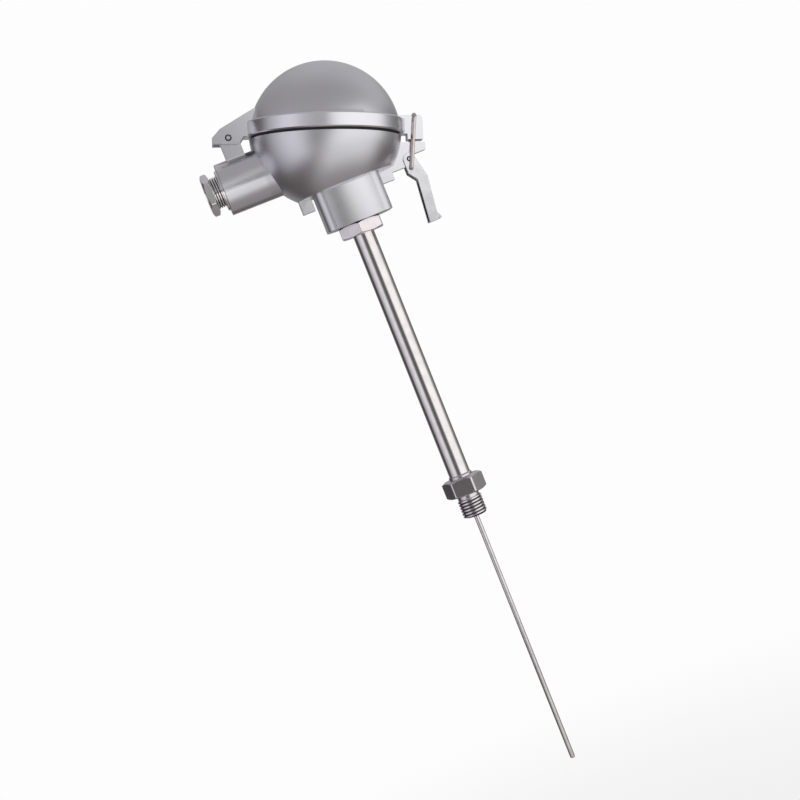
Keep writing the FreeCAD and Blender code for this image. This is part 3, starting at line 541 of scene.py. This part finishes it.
def cast_alloy(name, turned=None, across=None):
    """Tumbled casting with a fine even grain; where turned says so, machined bright with fine tool rings.

    turned gives the axes of the turned zone and across a function from its coordinates to a mask and the
    height along which the rings lie. The flats at front and back come smoother from the die.
    """
    colour = group_of("probe_colours").casting
    finish, shader = material(name)
    coords = shader.place()
    broad = shader.noise(coords, 22.0, 2.0)
    grain = shader.noise(coords, 1500.0, 2.0, 0.6)
    patches = shader.noise(coords, 140.0, 3.0, 0.55)
    roughness = 0.36 + (broad - 0.5) * 0.05 + (patches - 0.5) * 0.06
    height = grain * 0.6 + patches * 0.4
    tint = shader.mix(broad, tone(colour, 0.93), tone(colour, 1.04))
    facing = shader.axes(shader.node("ShaderNodeTexCoord")[1])
    face = facing[1].size().between(0.9985, 0.9997)     # 1 on the flats square to Y
    roughness = roughness * (1 - face * 0.62)
    height = height * (1 - face * 0.6)
    tint = shader.mix(face, tint, tone(colour, 1.06))
    if turned is not None:
        mask, along = across(shader, shader.axes(shader.place(turned)))
        feed = 0.00035                                  # of the lathe's tool, in each turn
        rings = (along * (TURN / feed)).sine() * 0.5 + 0.5
        uneven = shader.noise(shader.place(turned), 900.0, 1.0)
        roughness = roughness * (1 - mask) + mask * (0.27 + uneven * 0.05)
        height = height * (1 - mask) + mask * (rings * 0.35 + uneven * 0.05)
        tint = shader.mix(mask, tint, tone(colour, 1.06))
    shader.surface(Base_Color=tint, Metallic=1.0, Roughness=roughness,
                   Normal=shader.bump(height, 0.25, 0.00006))
    return finish


FINE = 0.00001      # relief of a polished surface's streaks, in metres
STREAKS = {"Z": (60.0, 60.0, 2600.0), "X": (2600.0, 60.0, 60.0), "along": (900.0, 900.0, 14.0),
           "bar": (420.0, 420.0, 90.0)}


def bright_steel(name, colour, roughness, way="Z", streak=0.5, relief=0.00003, groove_shade=None):
    """Drawn or ground steel: streaks that run round or along it, with a little wear in its shine.

    way names the streaks' cells in each metre: round Z or X, along the probe, or the short marks of bar stock.
    The last argument gives, from the coordinates, the low places of a thread, which get painted shade and a
    duller shine.
    """
    finish, shader = material(name)
    coords = shader.place()
    drawn = shader.node("ShaderNodeMapping", {}, {"Vector": coords, "Scale": STREAKS[way]})[0]
    lines = shader.noise(drawn, 1.0, 3.0, 0.6)
    stains = shader.noise(coords, 160.0, 3.0, 0.6)
    tint = shader.mix(stains.between(0.35, 0.7), tone(colour, 1.03), tone(colour, 0.93))
    gloss = roughness + (lines - 0.5) * 0.10 * streak + (stains - 0.5) * 0.06
    if groove_shade is not None:
        # painted shade: the thread's low places are made nearly black, as if in shadow, and a little rougher
        dark = groove_shade(*shader.axes(coords))
        tint = shader.mix(dark, tint, tone(colour, 0.16))
        gloss = gloss + dark * 0.2
    shader.surface(Base_Color=tint, Metallic=1.0, Roughness=gloss,
                   Normal=shader.bump(lines, 0.2 * streak, relief))
    return finish


def pin_with_rim_shade(name, place, radius):
    """A turned steel pin, light in the middle of each end and darkened with painted shade from about two thirds
    of its radius outwards, the shank too, for the shadowed gap round its ends.
    """
    finish, shader = material(name)
    coords = shader.place()
    x, y, z = shader.axes(coords)
    # painted shade: dark from about two thirds of the radius outwards, as in the gap round the pin's end
    groove = off_axis(x - place[0], z - place[1]).between(radius * 0.55, radius * 0.68)
    turned = shader.noise(coords, 1100.0, 2.0)
    tint = shader.mix(groove, (0.62, 0.61, 0.62), (0.07, 0.068, 0.07))
    shader.surface(Base_Color=tint, Metallic=1.0, Roughness=0.22 + groove * 0.25 + turned * 0.06,
                   Normal=shader.bump(turned - groove, 0.3, 0.0001))
    return finish


def middle_and_radius(node):
    """The place in X and Z of a pin that lies along Y, and its radius."""
    low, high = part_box(node)
    return ((low[0] + high[0]) / 2, (low[2] + high[2]) / 2), (high[2] - low[2]) / 2


def black_rubber(name):
    """Moulded black rubber with a faint bloom."""
    finish, shader = material(name)
    coords = shader.place()
    bloom = shader.noise(coords, 260.0, 4.0, 0.6)
    tint = shader.mix(bloom, (0.012, 0.012, 0.013), (0.028, 0.027, 0.028))
    shader.surface(Base_Color=tint, Roughness=0.6 + bloom * 0.2, Normal=shader.bump(bloom, 0.2, 0.00004))
    return finish


def fired_ceramic(name, colour=(0.80, 0.76, 0.67)):
    """Unglazed technical ceramic, speckled and slightly uneven."""
    finish, shader = material(name)
    coords = shader.place()
    speck = shader.noise(coords, 1800.0, 2.0, 0.7)
    cloud = shader.noise(coords, 90.0, 2.0)
    tint = shader.mix(cloud * 0.6 + speck.between(0.6, 0.75) * 0.4, colour, tone(colour, 0.84))
    shader.surface(Base_Color=tint, Roughness=0.58 + speck * 0.15, Normal=shader.bump(speck, 0.2, 0.00004))
    return finish


def turned_brass(name):
    """Bright turned brass with a light brown tarnish."""
    finish, shader = material(name)
    coords = shader.place()
    tarnish = shader.noise(coords, 320.0, 4.0, 0.6)
    tint = shader.mix(tarnish.between(0.4, 0.75), (0.78, 0.57, 0.25), (0.52, 0.36, 0.16))
    shader.surface(Base_Color=tint, Metallic=1.0, Roughness=0.24 + tarnish * 0.16,
                   Normal=shader.bump(tarnish, 0.1, 0.00003))
    return finish


def braided(name, colour):
    """A fine braided sleeve: two sets of crossing threads round the wire."""
    finish, shader = material(name)
    coords = shader.place()
    x, y, z = shader.axes(coords)
    thread = TURN / 0.0006
    weave = ((x + z) * thread).sine() * ((y - z) * thread).sine()
    tint = shader.mix(weave * 0.5 + 0.5, tone(colour, 0.7), colour)
    shader.surface(Base_Color=tint, Roughness=0.8, Normal=shader.bump(weave, 0.5, 0.00008))
    return finish


def off_axis(a, b):
    """How far a point lies from an axis, from its two coordinates across it."""
    return (a * a + b * b) ** 0.5


def process_groove_shade(x, y, z):
    """Where shade is painted: the low places of the process thread, below its plain neck."""
    return (1 - off_axis(x, y).between(0.0072, 0.0078)) * (1 - z.between(-0.0034, -0.0032))


def gland_groove_shade(x, y, z):
    """Where shade is painted: the low places of the packing screw's thread, inside its hexagon."""
    return (1 - off_axis(y, z - BOSS_HEIGHT).between(0.0093, 0.0098)) * x.between(-0.0784, -0.0782)


def turned_band(shader, axes):
    """On the lid: the rim band, from the seam to ten millimetres above it and outside the dome."""
    u, v, w = axes
    radius = off_axis(u, v)
    band = radius.between(0.0484, 0.0492) * (1 - radius.between(0.0502, 0.0506))
    return band * w.window(0.005, 0.0052, 0.0003), w


def turned_boss(shader, axes):
    """On the body: the cable boss, turned round X from its end to the bowl."""
    x, y, z = axes
    radius = off_axis(y, z - BOSS_HEIGHT)
    return radius.window(BOSS_RADIUS, 0.0004, 0.0003) * (1 - x.between(-0.046, -0.0445)), x


# ---------------------------------------------------------------- operators


def neck_edge(low, high):
    """Whether an edge is one of the two upright ones at the front of the neck."""
    upright = abs(low.x - high.x) + abs(low.y - high.y) < 1e-6
    return upright and low.y < -0.0213 and abs(abs(low.x) - 0.0215) < 1e-4


class PROBE_OT_head(bpy.types.Operator):
    """Finish the cast body of the head with its boss, neck, arm, ear and lug"""

    bl_idname = "probe.head"
    bl_label = "Head body"

    def execute(self, context):
        edge = group_of("probe_sizes").casting_edge
        body = eased("head_body", "head_casting", "probe", edge, blunt=(neck_edge, 0.006))
        dress(body, cast_alloy("Head casting", Matrix.Identity(4), turned_boss))
        dress(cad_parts["lid_gasket"], black_rubber("Gasket rubber"))
        return {"FINISHED"}


class PROBE_OT_lid(bpy.types.Operator):
    """Finish the domed lid with its band, hinge wing and lug, and the hinge pin"""

    bl_idname = "probe.lid"
    bl_label = "Lid"

    def execute(self, context):
        edge = group_of("probe_sizes").casting_edge
        lid = eased("lid", "lid_casting", "lid", edge)
        dress(lid, cast_alloy("Lid casting", lid_matrix(), turned_band))
        pin = eased("hinge_pin", "hinge_pin_turned", "probe", 0.0002)
        dress(pin, pin_with_rim_shade("Hinge pin steel", *middle_and_radius("hinge_pin")))
        return {"FINISHED"}


class PROBE_OT_latch(bpy.types.Operator):
    """Make the sheet lever with its pin, and the wire bail hooked over the lid's lug"""

    bl_idname = "probe.latch"
    bl_label = "Latch"

    def execute(self, context):
        colours = group_of("probe_colours")
        lever = eased("latch_lever", "latch_sheet_lever", "lever", 0.0003)
        dress(lever, bright_steel("Latch sheet", colours.sheet, 0.14, "along", 0.4))
        pin = eased("latch_pin", "latch_pin_turned", "lever", 0.0002)
        dress(pin, pin_with_rim_shade("Latch pin steel", *middle_and_radius("latch_pin")))
        bail = piece("bail_wire", "bail", self.bail(), slot="wire_steel", replaces=("wire_bail",))
        dress(bail, bright_steel("Bail wire", colours.wire, 0.16, "along"))
        return {"FINISHED"}

    @staticmethod
    def bail():
        """The wire: in at one hook, up a leg, across the groove of the lug and down again.

        Its line lies in the plane through the hooks and the groove, with rounded corners; the wire is a circle
        carried along it.
        """
        hook = np.array((0.043, 0.0, 0.2051))
        groove = transform(np.array([[0.0563, 0.0, 0.0127]]), lid_matrix())[0]
        up = groove - hook
        hook_end, leg = np.array((0.0, 0.0045, 0.0)), np.array((0.0, 0.0077, 0.0))
        line = [hook - hook_end, hook - leg, hook - leg + up, hook + leg + up, hook + leg, hook + hook_end]
        bends = np.array((0.0, 1.7, 3.0, 3.0, 1.7, 0.0)) * MM
        return wire(arcs(line, bends, 9, closed=False), group_of("probe_sizes").wire_diameter / 2)


class PROBE_OT_gland(bpy.types.Operator):
    """Make the hollow packing screw with its thread and lock ring"""

    bl_idname = "probe.gland"
    bl_label = "Packing screw"

    def execute(self, context):
        sizes, colours = group_of("probe_sizes"), group_of("probe_colours")
        sideways = Matrix.Rotation(-math.pi / 2, 4, "Y")
        boss = Matrix.Translation((BOSS_END, 0, BOSS_HEIGHT)) @ sideways
        head = hexagonal(flats=0.024, low=0.0065, high=0.0115, bevel=0.0011, turn=math.pi / 6,
                         bore_low=SCREW_BORE, bore_high=0.008, matrix=boss)
        stem = threaded(diameter=0.020, low=-0.013, high=0.0067, pitch=sizes.gland_pitch,
                        depth=sizes.thread_depth, bore=SCREW_BORE, matrix=boss)
        screw = piece("packing_screw_cut", "probe", head, stem, slot="nickel", replaces=("packing_screw",))
        plating = bright_steel("Nickel plating", colours.plating, 0.13, "X", 0.3, FINE, gland_groove_shade)
        dress(screw, plating)
        ring = eased("lock_ring", "lock_ring_turned", "probe", 0.0003)
        dress(ring, plating)
        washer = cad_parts["thrust_washer"]
        dress(washer, bright_steel("Washer steel", (0.55, 0.55, 0.56), 0.3, "X"))
        dress(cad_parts["cable_seal"], black_rubber("Seal rubber"))
        return {"FINISHED"}


class PROBE_OT_stem(bpy.types.Operator):
    """Make the hexagonal nipple and the polished extension tube"""

    bl_idname = "probe.stem"
    bl_label = "Nipple and tube"

    def execute(self, context):
        colours = group_of("probe_colours")
        steel = bright_steel("Milled steel", tone(colours.fitting, 1.14), 0.17, "bar", 0.4, FINE)
        nipple = hexagonal(flats=0.027, low=0.178, high=0.186, bevel=0.0011, turn=math.radians(22 - 90),
                           bore_low=TUBE_FIT, bore_high=0.0055, corner=0.0007)
        shank = lathe(arcs(np.array([(5.5, 185.0), (10.0, 185.0), (10.0, 199.0), (5.5, 199.0)]) * MM, 0.0008))
        joined = piece("nipple_milled", "probe", nipple, shank, slot="turned_steel",
                       replaces=("head_nipple",))
        dress(joined, steel)
        wall = arcs(np.array([(5.5, 7.0), (7.0, 7.0), (7.0, 184.0), (5.5, 184.0)]) * MM, 0.0002, 3)
        tube = piece("tube_polished", "probe", lathe(wall, 128), slot="polished_steel",
                     replaces=("extension_tube",))
        dress(tube, bright_steel("Polished tube", colours.tube, 0.13, "along", 0.35, FINE))
        return {"FINISHED"}


class PROBE_OT_fitting(bpy.types.Operator):
    """Make the process fitting with its hexagon, weld collar and cut thread"""

    bl_idname = "probe.fitting"
    bl_label = "Process fitting"

    def execute(self, context):
        sizes, colours = group_of("probe_sizes"), group_of("probe_colours")
        head = hexagonal(flats=0.024, low=0.0, high=0.011, bevel=0.0012, turn=math.radians(-11 - 90),
                         bore_low=0.002, bore_high=TUBE_FIT, corner=0.0017)
        collar = lathe(arcs(np.array([(7.05, 10.0), (8.4, 10.6), (7.75, 11.4), (7.7, 12.6), (7.4, 13.2),
                                      (7.05, 13.4)]) * MM, 0.0003))
        stem = threaded(diameter=0.016, low=-0.015, high=0.0003, pitch=sizes.thread_pitch,
                        depth=sizes.thread_depth, bore=0.00165, neck=0.0032)
        fitting = piece("fitting_cut", "probe", head, collar, stem, slot="turned_steel",
                        replaces=("process_fitting",))
        dress(fitting, bright_steel("Turned steel", tone(colours.fitting, 1.04), 0.17, "bar", 0.4, FINE,
                                    process_groove_shade))
        return {"FINISHED"}


class PROBE_OT_sheath(bpy.types.Operator):
    """Make the thin drawn sheath with its rounded closed end"""

    bl_idname = "probe.sheath"
    bl_label = "Sheath"

    def execute(self, context):
        tip = arcs(np.array([(0.0, -185.0), (1.6, -185.0), (1.6, 206.0), (0.0, 206.0)]) * MM,
                   np.array([0.0, 0.9, 0.1, 0.0]) * MM, 7, closed=False)
        sheath = piece("sheath_drawn", "probe", lathe(tip, 48), slot="sheath_steel", replaces=("probe_sheath",))
        dress(sheath, bright_steel("Drawn sheath", (0.66, 0.63, 0.63), 0.2, "along", 0.5, FINE))
        return {"FINISHED"}


class PROBE_OT_insert(bpy.types.Operator):
    """Finish what the head holds: disc, ceramic block, terminals, screws, springs and lead wires"""

    bl_idname = "probe.insert"
    bl_label = "Measuring insert"

    def execute(self, context):
        steel = bright_steel("Insert steel", (0.60, 0.59, 0.59), 0.28)
        brass = turned_brass("Terminal brass")
        finishes = {
            "insert_disc": steel, "insert_screws": steel, "insert_springs": steel, "transition_sleeve": steel,
            "terminal_screws": steel, "terminal_block": fired_ceramic("Block ceramic"),
            "lead_wire_1": braided("Red lead", (0.50, 0.04, 0.03)),
            "lead_wire_2": braided("Second red lead", (0.50, 0.04, 0.03)),
            "lead_wire_3": braided("White lead", (0.74, 0.72, 0.68)),
            "mineral_filling": fired_ceramic("Pressed powder", (0.78, 0.77, 0.74)),
            "sensing_element": fired_ceramic("Element ceramic", (0.74, 0.71, 0.64)),
        }
        finishes.update({"terminal_%d" % (index + 1): brass for index in range(4)})
        for node, finish in finishes.items():
            dress(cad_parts[node], finish)
        return {"FINISHED"}


def grey(bearing, level, cast=(1.0, 1.0, 1.0)):
    """A stop of the room's ramp: the bearing from the camera's side in degrees, the level and its tint."""
    return bearing / 360 + 0.5, tone(cast, level)


LILAC = (0.94, 0.93, 1.0)
BRIGHTEST = 1.25
ROOM = (grey(-180, 0.32), grey(-152, 0.30), grey(-138, 0.07), grey(-102, 0.07, (1.0, 0.92, 0.9)),
        grey(-88, 0.42, LILAC), grey(-70, 0.58, LILAC), grey(-60, 0.78, LILAC), grey(-36, 0.78, LILAC),
        grey(-28, 0.42, LILAC), grey(-21, 0.14), grey(-8, 0.09), grey(3, 0.10), grey(8, 0.23), grey(12, 0.42),
        grey(16, 0.68), grey(20, 0.97), grey(28, 1.03), grey(60, 1.03), grey(84, 0.93), grey(99, 0.40),
        grey(115, 0.20), grey(140, 0.10), grey(156, 0.30), grey(180, 0.32))


class PROBE_OT_stage(bpy.types.Operator):
    """Set the floor, the soft surroundings and the camera"""

    bl_idname = "probe.stage"
    bl_label = "Stage"

    def execute(self, context):
        studio = group_of("probe_studio")
        self.floor()
        self.surroundings(studio)
        self.camera(studio)
        context.scene.view_settings.view_transform = "Standard"
        return {"FINISHED"}

    @staticmethod
    def floor():
        """A round pale floor that fades to the white of the backdrop towards its edge.

        What the object mirrors of it is white far away, grey close by and dark ahead and to the left.
        """
        ring = np.linspace(0, TURN, 96, endpoint=False)
        radii = np.array((0.2, 0.5, 0.8, 1.1))
        loops = np.stack([radii[:, None] * np.cos(ring), radii[:, None] * np.sin(ring),
                          np.full((len(radii), len(ring)), FLOOR_LEVEL)], -1)
        vertices, faces = skin(loops, first=(0, 0, FLOOR_LEVEL))
        mesh = bpy.data.meshes.new("floor")
        mesh.from_pydata(vertices.tolist(), [], faces)
        work = bmesh.new()
        work.from_mesh(mesh)
        bmesh.ops.recalc_face_normals(work, faces=work.faces)
        if work.faces[0].normal.z < 0:
            bmesh.ops.reverse_faces(work, faces=work.faces)
        work.to_mesh(mesh)
        work.free()
        floor = bpy.data.objects.new("floor", mesh)
        bpy.context.scene.collection.objects.link(floor)
        finish, shader = material("Pale floor")
        x, y, z = shader.axes(shader.place())
        radius = off_axis(x, y)
        far = radius.between(0.15, 0.75)
        near = 1 - radius.between(0.15, 0.58)
        turn = group_of("probe_studio").azimuth
        ahead = (x * math.sin(turn) - y * math.cos(turn)).between(-0.15, 0.25)
        leftward = (x * math.cos(turn) + y * math.sin(turn)).between(-0.55, -0.1)
        light = shader.node("ShaderNodeLightPath")
        seen, mirrored = light[0], light[3]
        white = seen * (0.82 + far * 0.18) + mirrored * 0.9
        matt = shader.node("ShaderNodeBsdfDiffuse", {}, {"Color": (0.86, 0.86, 0.86)})
        reflection = shader.mix(near, shader.mix(ahead * leftward, (0.09, 0.07, 0.065), WHITE),
                                (0.34, 0.315, 0.315))
        colour = shader.mix(seen, reflection, WHITE)
        glow = shader.node("ShaderNodeEmission", {}, {"Color": colour, "Strength": 1.0})
        both = shader.node("ShaderNodeMixShader", {}, [white, matt[0], glow[0]])
        shader.node("ShaderNodeOutputMaterial", {}, [both[0]])
        dress(floor, finish)

    @staticmethod
    def surroundings(studio):
        """A soft studio round the object: two tall soft boxes, a ceiling, a table and a darker room between.

        A place in it is given by its bearing from the camera's side, positive to the right, and its height,
        both in degrees. The camera sees plain white in its stead.
        """
        world = bpy.data.worlds.new("Studio")
        bpy.context.scene.world = world
        shader = Shader(world)
        coords = shader.node("ShaderNodeTexCoord")[0]
        a = studio.azimuth
        front, side = (shader.node("ShaderNodeVectorMath", {"operation": "DOT_PRODUCT"}, [coords, way])[1]
                       for way in ((math.sin(a), -math.cos(a), 0.0), (math.cos(a), math.sin(a), 0.0)))
        bearing = side.math("ARCTAN2", front) * (180 / math.pi)
        height = shader.axes(coords)[2].math("ARCSINE") * (180 / math.pi)
        # above eye level the right-hand box leans inwards
        lean = height.between(1.8, 3.2) * ((bearing - 8.4) * 4).math("MAXIMUM", 0.0).math("MINIMUM", 10.0)
        boxes = shader.node("ShaderNodeValToRGB", {"stops": ROOM}, [(bearing + lean) / 360 + 0.5])[0]
        # the table under the boxes, brighter on the right
        low = (bearing.between(-45.0, -20.0) * (1 - bearing.between(90.0, 102.0))
               * (1 - height.between(-12.5, -8.5)))
        table = shader.mix(bearing.between(-9.0, 3.0), (0.28, 0.27, 0.27), (1.0, 1.0, 1.0))
        # pale wall seen over the darker places between the boxes
        gaps = height.between(3.0, 9.0) * (bearing.window(-14.0, 16.0, 10.0)
                                           + bearing.window(116.0, 18.0, 10.0))
        lit = shader.mix(low, shader.mix(gaps * 0.8, boxes, (0.54, 0.535, 0.56)), table)
        # the ceiling, which starts higher on the left
        behind = shader.mix(side.between(-0.5, 0.2), (0.30, 0.295, 0.31), (0.45, 0.445, 0.465))
        ceiling = shader.mix(front.between(-0.4, 0.3), behind, (0.32, 0.315, 0.33))
        raised = (1 - bearing.between(-14.0, 8.0)) * 19.0
        tint = shader.mix((height - raised).between(9.0, 23.0), lit, ceiling)
        seen = shader.node("ShaderNodeLightPath")[0]
        room = shader.node("ShaderNodeBackground", {}, {"Color": tint, "Strength": BRIGHTEST * studio.strength})
        white = shader.node("ShaderNodeBackground", {}, {"Color": WHITE, "Strength": 1.0})
        both = shader.node("ShaderNodeMixShader", {}, [seen, room[0], white[0]])
        shader.node("ShaderNodeOutputWorld", {}, [both[0]])

    @staticmethod
    def camera(studio):
        """A camera turned about its line of sight, so that the probe runs down the picture aslant."""
        a, e, roll = studio.azimuth, studio.elevation, studio.roll
        back = Vector((math.sin(a) * math.cos(e), -math.cos(a) * math.cos(e), math.sin(e)))
        right = Vector((math.cos(a), math.sin(a), 0.0))
        up = back.cross(right)
        aim = Vector((0.0, 0.0, 0.0714)) - 0.0178 * right
        across = math.cos(roll) * right - math.sin(roll) * up
        upward = math.cos(roll) * up + math.sin(roll) * right
        turn = Matrix((across, upward, back)).transposed().to_4x4()
        lens = bpy.data.cameras.new("Camera")
        lens.lens = studio.lens
        lens.sensor_width = 36.0
        eye = bpy.data.objects.new("Camera", lens)
        eye.matrix_world = Matrix.Translation(aim + back * studio.distance) @ turn
        bpy.context.scene.collection.objects.link(eye)
        bpy.context.scene.camera = eye


OPERATORS = (PROBE_OT_head, PROBE_OT_lid, PROBE_OT_latch, PROBE_OT_gland, PROBE_OT_stem, PROBE_OT_fitting,
             PROBE_OT_sheath, PROBE_OT_insert, PROBE_OT_stage)


class PROBE_PT_panel(bpy.types.Panel):
    """The thermometer's pieces, one button for each"""

    bl_idname = "PROBE_PT_panel"
    bl_label = "Thermometer"
    bl_space_type = "VIEW_3D"
    bl_region_type = "UI"
    bl_category = "Thermometer"

    def draw(self, context):
        for operator in OPERATORS:
            self.layout.operator(operator.bl_idname)
        for name in GROUPS:
            box = self.layout.box()
            values = getattr(context.scene, name)
            for key in values.__annotations__:
                box.prop(values, key)


GROUPS = {"probe_sizes": ProbeSizes, "probe_colours": ProbeColours, "probe_studio": Studio}
CLASSES = (*GROUPS.values(), *OPERATORS, PROBE_PT_panel)


def register():
    for made in CLASSES:
        bpy.utils.register_class(made)
    for name, group in GROUPS.items():
        setattr(bpy.types.Scene, name, bpy.props.PointerProperty(type=group))


def unregister():
    for name in GROUPS:
        delattr(bpy.types.Scene, name)
    for made in reversed(CLASSES):
        bpy.utils.unregister_class(made)


def main():
    """Register everything and make the pieces in order."""
    register()
    for operator in OPERATORS:
        group, name = operator.bl_idname.split(".")
        getattr(getattr(bpy.ops, group), name)()


if __name__ == "__main__":
    main()
